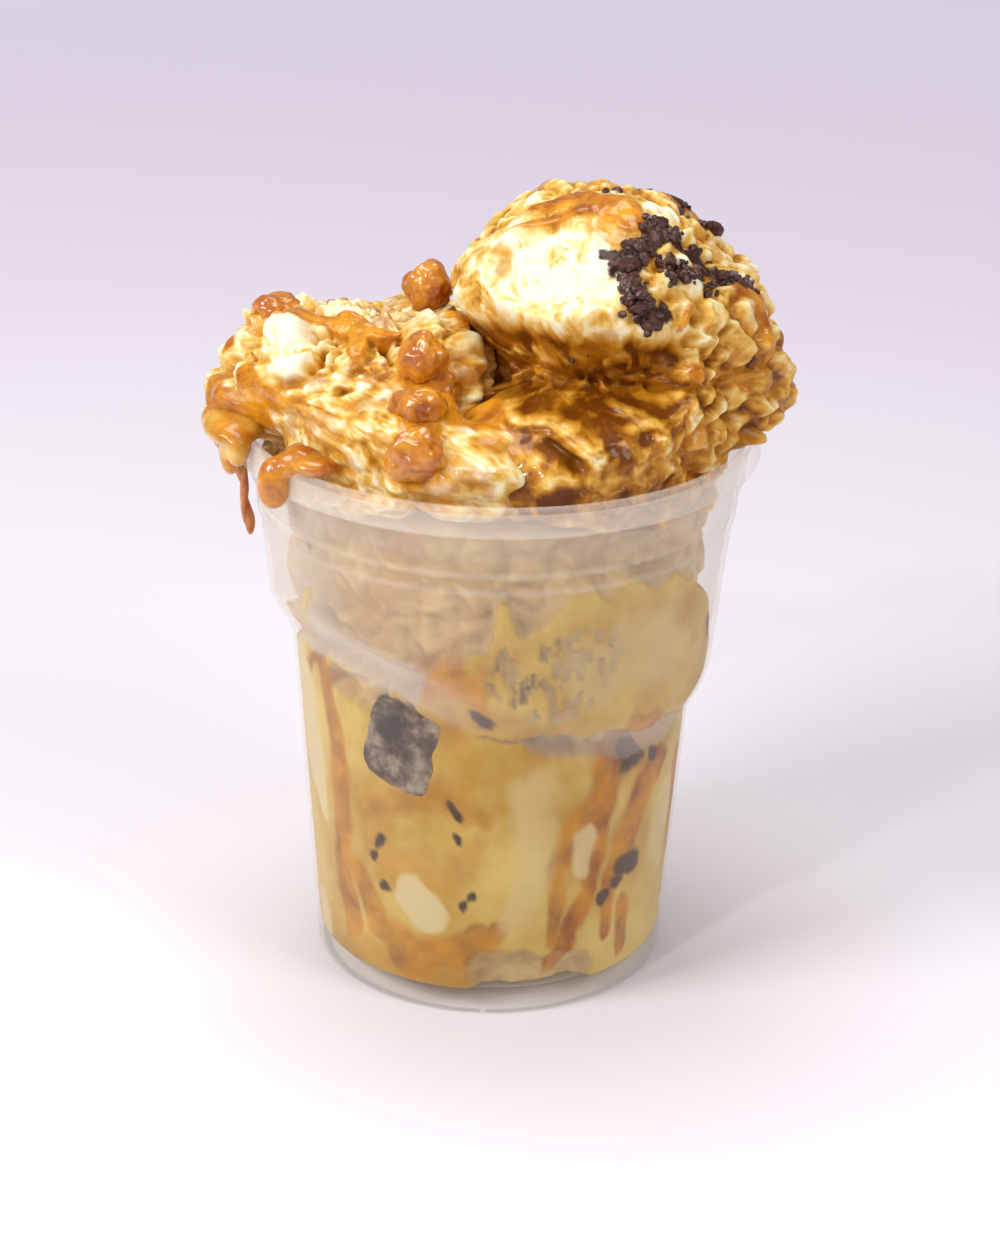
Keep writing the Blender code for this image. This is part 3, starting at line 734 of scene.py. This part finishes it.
syrup_runs = [
    ([(5.0, -3.0, 147.0), (12.0, -4.0, 148.0), (18.0, -7.0, 147.5), (21.5, -13.0, 145.5)],
     [2.0, 3.6, 5.0, 3.2]),
    ([(16.0, -8.0, 146.5), (5.0, -9.5, 144.5), (-3.0, -9.5, 141.5), (-7.0, -11.0, 138.0),
      (-8.5, -12.0, 134.0)], [2.0, 1.6, 1.4, 1.7, 1.5]),
    ([(30.5, -18.0, 138.0), (32.5, -20.5, 134.0), (31.0, -24.0, 131.0)], [1.6, 2.4, 1.2]),
    ([(41.5, -11.0, 134.5), (44.0, -8.5, 131.0), (46.0, -10.0, 124.0), (46.5, -12.0, 117.0)],
     [2.0, 2.6, 2.6, 2.0]),
    ([(33.0, -22.5, 124.0), (35.0, -22.5, 120.0)], [1.8, 2.2]),
    ([(-3.0, -24.0, 117.5), (1.0, -31.0, 114.0), (3.0, -38.0, 111.0)], [3.0, 2.6, 2.2]),
    ([(30.0, 14.0, 143.0), (36.0, 20.0, 134.0), (36.0, 26.0, 124.0)], [3.0, 3.6, 2.0]),
    ([(8.0, 16.0, 143.0), (4.0, 24.0, 132.0)], [2.6, 3.0]),
]
syrup = trails(p, syrup_runs, edge=0.5 * ragged, soft=0.2)
smooth = np.maximum.reduce([0.95 * face, 0.9 * melt, 0.85 * syrup, 0.85 * brim, 0.9 * band])
smooth = np.clip(smooth, 0.0, 1.0)
lower_right = ease(p[..., 0], 26.0, 34.0)
coarse = 1.0 + 0.5 * lower_right + 0.3 * hang - 0.35 * ease(p[..., 2], 126.0, 132.0)
relief = (1.0 - smooth) * (coarse * crumbled + 0.2 * layered(p, 2.2, 33, 3))
slump = dab(p, (39.0, 0.0, 142.0), (15.0, 34.0, 13.0), 1.0)
shape = (1.1 * layered(p, 15.0, 31, 2) * (1.0 - face) + relief - 3.4 * hang - 1.2 * face + 1.3 * brim
         - 3.6 * slump + 0.35 * face * layered(p, 6.0, 34, 3) + 0.5 * band * layered(p, 5.0, 36, 3)
         + 3.2 * folds - 5.2 * hollows + 1.9 * knobs + 0.9 * syrup
         + 1.5 * melt * layered(p, 7.0, 35, 2))
grain = 0.22 * (1.0 - smooth) * layered(p, 1.5, 39, 2)
shape = softened(shape, 3) + grain
right_points = held_by_mouth(held_by_mouth(p, 1.6) + ways * shape[..., None])
smooth_right = smooth
right_mesh = skin("scoop_right", right_points, right_points[0].mean(0), right_points[-1].mean(0))

stain = trails(p, [
    ([(19.0, -18.5, 142.5), (22.0, -21.0, 139.0), (24.0, -25.0, 134.0), (28.0, -24.0, 133.5)],
     [2.4, 3.0, 2.6, 1.8]),
    ([(27.0, -14.0, 143.5), (34.0, -12.0, 141.5), (40.0, -11.0, 137.0), (42.0, -9.0, 132.0)],
     [1.6, 1.5, 1.8, 1.4]),
    ([(29.0, -18.0, 139.5), (33.0, -16.0, 137.0)], [1.5, 1.5]),
], edge=0.7 * layered(p, 2.6, 37, 3), soft=0.3) * (1.0 - 0.7 * syrup)
# Tone: the gelato's own cream with painted light and shade. Lumps and crests are lighter and the cracks
# darker, partly caramel and partly painted shade; the hollows and the undercut below the lip are painted
# darker as shade; the folds and the brim get a painted highlight; and it is darker towards the bottom.
tone = (0.62 + 0.16 * ragged + 0.35 * (large - 0.8) + 0.4 * (crests - 0.35) + 0.25 * (small - 0.75)
        - 0.26 * hang + (0.3 * layered(p, 5.0, 29, 3) - 0.15) * melt
        - 0.35 * hollows + 0.22 * folds + 0.08 * face
        + 0.26 * ease(face_away, 1.25, 0.85) + 0.02 * band * (1.0 - hang)
        + 0.25 * dab(p, (27.0, -6.0, 145.0), (9.0, 9.0, 6.0)) + 0.16 * knobs + 0.08 * brim
        - 0.13 * ease(p[..., 2], 129.0, 119.0))
raised = np.clip(shape - softened(shape, 24), -1.6, 1.0)
# Painted shade in the creases, where the shape sinks below its smoothed self, and painted light on the
# ridges that stand above it.
tone = tone + np.where(raised < 0.0, 0.22, 0.12) * raised
soaked = ease(layered(p, 9.0, 38, 4) - 0.2 * raised, 0.1, 0.26) * (1.0 - face) * (1.0 - 0.8 * melt)
wet = np.maximum.reduce([0.6 * melt, 0.55 * soaked, 0.5 * brim, 0.35 + 0.0 * face])

paint(right_mesh, tone=ends(tone), caramel=ends(np.maximum(syrup, 0.6 * soaked)),
      cocoa=ends(stain), wet=ends(wet))

scooped, tree, shader = new_material("scooped_gelato")
grain = texture(tree, 1.5, 4.0)
mottle = texture(tree, 5.0, 5.0)
# The tone attribute carries the gelato's own colour along with painted shade in cracks, hollows and under
# the lip, and painted light on crests, ridges and folds.
level = summed(tree, summed(tree, mask(tree, "tone"), grain, 0.16), mottle, 0.21)
base = ramp(tree, level, [
    (0.22, (0.16, 0.04, 0.0015)), (0.48, (0.46, 0.18, 0.008)),
    (0.70, (0.74, 0.42, 0.07)), (0.87, (0.87, 0.68, 0.30)), (1.0, (0.94, 0.86, 0.62))])
amber = ramp(tree, mottle, [(0.35, (0.36, 0.09, 0.002)), (0.62, (0.75, 0.32, 0.012))])
base = value_mix(tree, mask(tree, "caramel"), base, amber)
base = value_mix(tree, mask(tree, "cocoa"), base, (0.055, 0.018, 0.012))
tree.links.new(base, shader.inputs["Base Color"])
gloss = number_mix(tree, mask(tree, "wet"), 0.62, 0.25)
tree.links.new(gloss, shader.inputs["Roughness"])
coat = tree.nodes.new("ShaderNodeMath")
coat.operation = "MAXIMUM"
tree.links.new(mask(tree, "wet"), coat.inputs[0])
tree.links.new(mask(tree, "caramel"), coat.inputs[1])
tree.links.new(number_mix(tree, coat.outputs["Value"], 0.0, 0.85), shader.inputs["Coat Weight"])
shader.inputs["Coat Roughness"].default_value = 0.08
shader.inputs["Coat IOR"].default_value = 1.4
shader.inputs["Specular IOR Level"].default_value = 0.12
shader.inputs["Subsurface Weight"].default_value = 0.2
shader.inputs["Subsurface Radius"].default_value = (1.0, 0.55, 0.2)
shader.inputs["Subsurface Scale"].default_value = 0.002
bump = tree.nodes.new("ShaderNodeBump")
bump.inputs["Strength"].default_value = 0.35
bump.inputs["Distance"].default_value = 0.0005
tree.links.new(texture(tree, 0.9, 4.0), bump.inputs["Height"])
tree.links.new(bump.outputs["Normal"], shader.inputs["Normal"])
scoop_right = new_piece("right_scoop", right_mesh, scooped)
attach(scoop_right, "root")
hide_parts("scoop_right")


# ---------------------------------------------------------------------------------------------
# The left scoop: a lower, crumbly heap that has slumped against the rim, with a pale lump of
# plain gelato at the left, folded ribbons below it, and caramel run into the valley.

LEFT_CENTRE = (-24.0, 0.0, 106.0)
LEFT_LOBES = [
    ((-24.0, 0.0, 107.0), (28.0, 32.0, 16.5)),
    ((-35.5, 1.0, 114.0), (13.5, 16.0, 10.5)),
    ((-41.5, 1.0, 106.5), (12.2, 14.0, 8.5)),
    ((-22.0, -25.0, 108.0), (22.0, 19.0, 10.0)),
    ((-10.0, -7.0, 115.0), (10.5, 15.0, 11.5)),
    ((-12.0, 20.0, 107.0), (27.0, 24.0, 12.5)),
    ((-33.0, -22.0, 107.0), (13.0, 16.0, 10.0)),
    ((-4.0, -33.0, 107.0), (12.0, 11.0, 8.5)),
    ((-30.0, 16.0, 110.0), (15.0, 14.0, 9.5)),
]
p = ways * skin_distance(ways, LEFT_CENTRE, LEFT_LOBES)[..., None] + LEFT_CENTRE
ragged = layered(p, 7.0, 61, 4)
crumbled, large, crests, small = torn(p, 6.5, 15)
lump = trails(p, [([(-37.5, -8.0, 122.5), (-36.5, -15.0, 120.5)], [5.6, 5.0])],
              edge=0.18 * ragged, soft=0.45)
knobs = trails(p, [
    ([(-14.5, -5.0, 126.0), (-12.0, -11.0, 124.5)], [4.6, 4.4]),
    ([(-5.0, -12.0, 123.5), (-5.5, -15.0, 120.5)], [3.4, 3.4]),
    ([(-21.0, -2.0, 124.0), (-27.0, 0.0, 124.0)], [4.0, 4.0]),
    ([(-2.0, -42.0, 111.5), (3.0, -42.5, 110.0)], [5.0, 4.6]),
    ([(-8.0, -43.0, 109.5), (-10.0, -43.0, 108.5)], [3.4, 3.0]),
    ([(-9.5, -25.5, 117.0), (-8.0, -25.0, 117.0)], [3.6, 3.2]),
], edge=0.2 * ragged, soft=0.9)
ribbons = trails(p, [
    ([(-45.0, -16.0, 114.5), (-42.0, -23.0, 115.0), (-36.0, -31.0, 115.5), (-30.0, -36.5, 114.0),
      (-26.0, -39.5, 113.0)], [2.4, 2.8, 3.0, 2.8, 2.0]),
    ([(-43.0, -28.0, 111.0), (-37.0, -35.5, 111.5), (-31.0, -40.0, 111.0), (-25.0, -42.5, 110.0)],
     [2.2, 2.8, 2.8, 2.4]),
], edge=0.1 * ragged, soft=0.85)
hollows = trails(p, [
    ([(-40.0, -27.0, 113.3), (-33.0, -35.0, 113.4), (-27.0, -39.5, 111.8)], [1.1, 1.2, 1.0]),
    ([(-39.5, -24.0, 117.0), (-33.0, -30.0, 117.8), (-27.5, -33.5, 116.5)], [1.3, 1.5, 1.2]),
    ([(-33.5, -17.5, 119.5), (-31.0, -12.0, 121.5)], [1.2, 1.2]),
    ([(-20.0, -11.0, 122.5), (-17.5, -16.0, 120.0)], [1.5, 1.4]),
    ([(-28.0, -25.0, 118.0), (-25.5, -24.0, 118.5)], [1.5, 1.3]),
    ([(-23.5, -38.0, 113.6), (-21.5, -38.5, 113.2)], [1.5, 1.3]),
    ([(-6.0, -20.5, 117.5), (-5.5, -22.5, 116.0)], [2.4, 2.2]),
    ([(-15.0, -44.0, 108.0), (-12.0, -43.0, 109.5)], [2.0, 1.6]),
], edge=0.2 * ragged, soft=0.9)
syrup_runs = [
    ([(-38.0, -3.0, 124.5), (-33.0, -3.5, 125.0), (-26.0, -6.0, 124.0), (-20.0, -8.0, 123.0)],
     [1.8, 3.2, 3.6, 2.6]),
    ([(-25.0, -6.0, 124.0), (-25.0, -14.0, 121.5)], [2.4, 1.6]),
    ([(-17.0, -3.0, 127.0), (-10.0, -3.5, 128.5), (-7.0, -6.0, 127.5), (-6.0, -9.0, 125.0)],
     [1.8, 2.4, 2.2, 1.4]),
    ([(-15.5, -14.0, 122.5), (-13.5, -20.0, 120.5), (-10.5, -23.0, 118.5), (-8.0, -28.0, 116.0),
      (-3.0, -31.0, 114.5)], [3.0, 5.0, 4.4, 5.0, 4.6]),
    ([(-14.0, -26.0, 117.5), (-13.0, -32.0, 115.5), (-13.5, -41.0, 111.0)], [4.0, 5.2, 5.6]),
    ([(-44.5, -12.0, 117.0), (-43.0, -20.0, 115.0), (-38.5, -26.5, 115.6)], [2.2, 3.4, 2.2]),
    ([(-50.0, -4.0, 112.0), (-49.0, -12.0, 111.0), (-45.0, -22.0, 110.0)], [2.6, 3.2, 2.6]),
    ([(-43.0, 2.0, 121.0), (-47.5, -1.0, 117.0)], [2.0, 2.0]),
    ([(-8.0, -37.0, 112.5), (-3.0, -37.0, 112.0)], [1.8, 1.6]),
    ([(-30.0, 14.0, 120.0), (-38.0, 20.0, 113.0)], [3.0, 2.4]),
    ([(-14.0, 20.0, 120.0), (-12.0, 32.0, 114.0)], [3.2, 2.6]),
]
syrup = trails(p, syrup_runs, edge=0.55 * ragged, soft=0.2)
smooth = np.clip(np.maximum.reduce([0.6 * lump, 0.85 * syrup, 0.8 * ribbons, 0.6 * knobs]), 0.0, 1.0)
relief = (1.0 - smooth) * (1.35 * crumbled + 0.25 * layered(p, 2.0, 63, 3))
shape = (1.0 * layered(p, 13.0, 64, 2) + relief + 2.2 * lump + 1.9 * knobs + 2.8 * ribbons
         - 3.6 * hollows + 0.9 * syrup)
grain = 0.22 * (1.0 - smooth) * layered(p, 1.5, 69, 2)
shape = softened(shape, 3) + grain
left_points = held_by_mouth(held_by_mouth(p, 1.6) + ways * shape[..., None])
smooth_left = smooth
left_mesh = skin("scoop_left", left_points, left_points[0].mean(0), left_points[-1].mean(0))
raised = np.clip(shape - softened(shape, 24), -1.6, 1.0)
soaked = ease(layered(p, 8.0, 68, 4) - 0.2 * raised, 0.08, 0.24) * (1.0 - lump)
# Tone: lumps and crests lighter and the cracks between them darker, partly caramel and partly painted shade;
# the hollows painted darker as shade; the lump of plain gelato paler in its own colour.
tone = (0.70 + 0.16 * ragged + 0.35 * (large - 0.8) + 0.4 * (crests - 0.35)
        + 0.25 * (small - 0.75) - 0.35 * hollows + 0.28 * lump + 0.16 * knobs - 0.06 * ribbons)
wet = np.maximum.reduce([0.8 * ribbons, 0.7 * soaked, 0.5 * knobs, 0.35 - 0.25 * lump])
amber_left = np.maximum.reduce([syrup, 0.6 * soaked, 0.45 * ribbons])
paint(left_mesh, tone=ends(tone), caramel=ends(amber_left), cocoa=ends(0.0 * tone), wet=ends(wet))
scoop_left = new_piece("left_scoop", left_mesh, scooped)
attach(scoop_left, "root")
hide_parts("scoop_left")


# ---------------------------------------------------------------------------------------------
# Caramelled nuts: roasted nuts, each cooked in a thick, sticky coat of caramel that has pooled
# round its foot. One sits at the top left, the others lie in the valley.

def pebble(name, centre, sizes, seed, rough, material, segments=72, rings=44):
    """A closed lump: a ball of those half sizes, swollen and dented by noise."""
    rays = directions(segments, rings)
    reach = 1.0 + rough * layered(rays + seed * 7.3, 1.1, seed, 3)
    rings_of_points = rays * reach[..., None] * sizes + centre
    mesh = skin(name, rings_of_points, rings_of_points[0].mean(0), rings_of_points[-1].mean(0))
    return new_piece(name, mesh, material)


toffee, tree, shader = new_material("caramel_coat")
base = ramp(tree, texture(tree, 4.0, 4.0), [(0.36, (0.42, 0.10, 0.002)), (0.64, (0.72, 0.30, 0.015))])
tree.links.new(base, shader.inputs["Base Color"])
shader.inputs["Roughness"].default_value = 0.3
shader.inputs["Coat Weight"].default_value = 0.9
shader.inputs["Coat Roughness"].default_value = 0.06
shader.inputs["Coat IOR"].default_value = 1.45
shader.inputs["Subsurface Weight"].default_value = 0.25
shader.inputs["Subsurface Radius"].default_value = (1.0, 0.45, 0.1)
shader.inputs["Subsurface Scale"].default_value = 0.0025
for number in range(1, 6):
    node = f"caramel_nut_{number}"
    low, high = (np.array(corner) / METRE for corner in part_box(node))
    nut = pebble(f"nut_{number}", (low + high) / 2.0, (high - low) / 2.0 + 0.3, number, 0.3, toffee)
    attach(nut, "root")
    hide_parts(node)


# ---------------------------------------------------------------------------------------------
# Chocolate: a broken lump of sharp shards pressed into the right scoop, a rounded, lumpy chunk
# against the wall, and crumbs and flakes of it strewn along the scoop's edge.

def rocks(name, spots, sizes, seed, segments=10, rings=6, cuts=9, tightness=0.62, smooth=False):
    """One mesh of many broken bits. Each is a ball cut by random planes, so every direction
    ends at the nearest plane, then stretched and turned at random."""
    dice = np.random.default_rng(seed)
    rays = directions(segments, rings).reshape(-1, 3)
    rays = np.concatenate([rays, [[0.0, 0.0, 1.0], [0.0, 0.0, -1.0]]])
    count = len(spots)
    planes = dice.normal(size=(count, cuts, 3))
    planes /= np.linalg.norm(planes, axis=-1, keepdims=True)
    reach = dice.uniform(tightness, 1.0, (count, cuts))
    facing = np.maximum(np.einsum("vk,npk->nvp", rays, planes), 0.02)
    far = np.minimum((reach[:, None, :] / facing).min(-1), 1.15)
    points = rays * far[..., None]
    stretch = dice.uniform(0.55, 1.0, (count, 1, 3)) * np.array(sizes, float).reshape(-1, 1, 1)
    points = points * stretch
    spin = np.linalg.qr(dice.normal(size=(count, 3, 3)))[0]
    spin[:, :, 0] *= np.linalg.det(spin)[:, None]
    points = np.einsum("nvk,njk->nvj", points, spin) + np.array(spots)[:, None, :]
    index = np.arange(rings * segments).reshape(rings, segments)
    side = np.roll(index, -1, axis=1)
    quads = np.stack([index[:-1], index[1:], side[1:], side[:-1]], -1).reshape(-1, 4)
    top, bottom = rings * segments, rings * segments + 1
    caps = [np.stack([np.full(segments, top), index[0], side[0]], 1),
            np.stack([np.full(segments, bottom), side[-1], index[-1]], 1)]
    one = np.concatenate([quads[:, [0, 1, 2]], quads[:, [0, 2, 3]], *caps])
    faces = (one[None] + (np.arange(count) * len(rays))[:, None, None]).reshape(-1, 3)
    mesh = new_mesh(name, points.reshape(-1, 3), faces)
    if not smooth:
        mesh.polygons.foreach_set("use_smooth", np.zeros(len(faces), bool))
    return mesh, len(rays)


def strewn(points, weight, count, dice, values=None):
    """Spots on a skin, picked at random by weight, and the values there if given."""
    chance = weight.ravel() / weight.sum()
    picked = dice.choice(chance.size, count, p=chance)
    spots = points.reshape(-1, 3)[picked]
    return spots if values is None else (spots, values.ravel()[picked])


cocoa, tree, shader = new_material("dark_chocolate")
base = ramp(tree, texture(tree, 1.2, 5.0), [(0.35, (0.025, 0.007, 0.005)), (0.6, (0.10, 0.032, 0.018)),
                                            (0.8, (0.22, 0.12, 0.09))])
tree.links.new(base, shader.inputs["Base Color"])
shader.inputs["Roughness"].default_value = 0.38
dice = np.random.default_rng(5)
core = [(27.5, -14.0, 144.5), (24.0, -17.5, 143.5), (21.5, -21.5, 141.0), (22.0, -24.0, 138.0),
        (24.0, -25.5, 135.0), (25.5, -26.0, 133.0)]
spots = strewn(right_points, np.exp(-(near_path(right_points, core) / 1.5) ** 2), 95, dice)
cluster_mesh, _ = rocks("cluster", spots, dice.uniform(0.8, 2.1, 95), 6, 14, 9, 6, 0.35)
cluster = new_piece("chocolate_lump", cluster_mesh, cocoa)
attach(cluster, "root")
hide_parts("chocolate_cluster")

CHUNK_AZIMUTH, CHUNK_HEIGHT, CHUNK_RADIUS, CHUNK_LEAN = -117.5, 54.5, 33.0, 12.0
CHUNK_HALF = (7.0, 5.0, 8.6)
rays = directions(120, 72)
square = (np.abs(rays) ** 5).sum(-1) ** -0.2
block = rays * (square * (1.0 + 0.16 * layered(rays * 7.0, 4.0, 77, 4)))[..., None] * CHUNK_HALF
lean = math.radians(CHUNK_LEAN)
turn = math.radians(CHUNK_AZIMUTH)
across = block[..., 0] * math.cos(lean) - block[..., 2] * math.sin(lean)
up = block[..., 0] * math.sin(lean) + block[..., 2] * math.cos(lean)
out = block[..., 1] + CHUNK_RADIUS
block = np.stack([out * math.cos(turn) + across * math.sin(turn),
                  out * math.sin(turn) - across * math.cos(turn), up + CHUNK_HEIGHT], -1)
bearing = np.arctan2(block[..., 1], block[..., 0])
limit = body_radius(block[..., 2], bearing) - WALL + 0.45
radius = np.hypot(block[..., 0], block[..., 1])
squeeze = np.minimum(radius, limit) / radius
block = block * np.stack([squeeze, squeeze, np.ones_like(squeeze)], -1)
chunk_mesh = skin("chunk", block, block[0].mean(0), block[-1].mean(0))
frosted, tree, shader = new_material("frosted_chocolate")
base = ramp(tree, texture(tree, 6.0, 5.0), [(0.4, (0.02, 0.008, 0.004)), (0.5, (0.10, 0.06, 0.035)),
                                            (0.66, (0.38, 0.29, 0.2))])
tree.links.new(base, shader.inputs["Base Color"])
shader.inputs["Roughness"].default_value = 0.5
chunk = new_piece("chocolate_in_wall", chunk_mesh, frosted)
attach(chunk, "root")
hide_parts("chocolate_chunk")

edge_runs = [[(26.5, -12.0, 145.0), (33.0, -11.0, 143.0), (38.0, -10.0, 140.0), (41.0, -10.0, 136.0),
              (43.0, -6.0, 132.0)],
             [(29.0, -19.0, 139.5), (33.0, -17.0, 138.0), (36.0, -16.0, 136.0)],
             [(40.0, 4.0, 139.0), (30.0, 16.0, 141.0), (14.0, 22.0, 141.0)]]
near_edge = np.minimum.reduce([near_path(right_points, run) for run in edge_runs])
torn_bits = np.minimum.reduce([near_path(right_points, [spot]) for spot in
                               ((22.5, -24.0, 122.5), (13.0, -23.5, 122.8), (27.5, -24.5, 120.0),
                                (33.0, -35.0, 112.0), (41.0, -27.0, 112.0), (20.0, 26.0, 124.0),
                                (34.0, -30.0, 113.5), (43.0, -13.0, 121.0))])
weight = (np.exp(-(near_edge / 1.7) ** 2) + 0.9 * np.exp(-(torn_bits / 1.4) ** 2)
          + 0.0006 * (1.0 - smooth_right))
spots = strewn(right_points, weight, 420, dice)
crumb_mesh, _ = rocks("cocoa_crumbs", spots, dice.gamma(1.8, 0.28, 420) + 0.2, 8, 10, 7, 6, 0.3)
crumbs = new_piece("chocolate_crumbs", crumb_mesh, cocoa)
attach(crumbs, "root")


# ---------------------------------------------------------------------------------------------
# Melt and drips: caramel that has run over the rim in a thick drop at the front left, and soft
# gelato that has melted over the left side, with a thin trickle below it.

drip_lobes = {
    "rim_drop": [((-33.0, -27.5, 107.5), (4.0, 3.6, 2.2)), ((-36.0, -29.0, 106.3), (3.4, 3.2, 2.2)),
                 ((-38.3, -29.8, 103.8), (2.9, 2.9, 4.0)), ((-38.4, -29.8, 101.8), (2.6, 2.6, 3.0)),
                 ((-31.0, -31.5, 107.2), (4.0, 3.0, 1.7))],
    "side_melt": [((-46.5, -9.0, 107.5), (6.2, 12.0, 3.2)), ((-48.6, -6.0, 104.5), (2.6, 6.0, 4.4)),
                  ((-47.2, -13.5, 103.6), (2.2, 4.6, 5.0)), ((-48.2, 3.0, 105.0), (2.4, 5.0, 3.4)),
                  ((-45.5, -19.0, 105.3), (2.2, 3.4, 3.0)), ((-47.6, -8.0, 101.6), (1.6, 2.6, 3.6))],
    "side_trickle": [((-46.6, -10.0, 101.5), (1.1, 1.5, 4.0)), ((-45.3, -9.6, 94.0), (0.8, 1.1, 6.5)),
                     ((-44.3, -9.4, 87.6), (0.9, 1.2, 2.4))],
}
for number, (name, lobes) in enumerate(drip_lobes.items()):
    middle = np.array(lobes[1][0])
    rays = directions(96, 64)
    ends_of_rays = rays * skin_distance(rays, middle, lobes, 10.0)[..., None] + middle
    ends_of_rays += rays * (0.25 * noise(ends_of_rays, 4.0, 90 + number))[..., None]
    mesh = skin(name, ends_of_rays, ends_of_rays[0].mean(0), ends_of_rays[-1].mean(0))
    if name == "side_melt":
        high = ease(ends_of_rays[..., 2], 103.0, 108.0)
        paint(mesh, tone=ends(0.46 + 0.2 * layered(ends_of_rays, 5.0, 95, 3)), cocoa=ends(0.0 * high),
              caramel=ends(0.85 * ease(noise(ends_of_rays, 6.0, 96), -0.2, 0.2)), wet=ends(0.0 * high + 1.0))
    drip = new_piece(name, mesh, scooped if name == "side_melt" else toffee)
    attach(drip, "root")
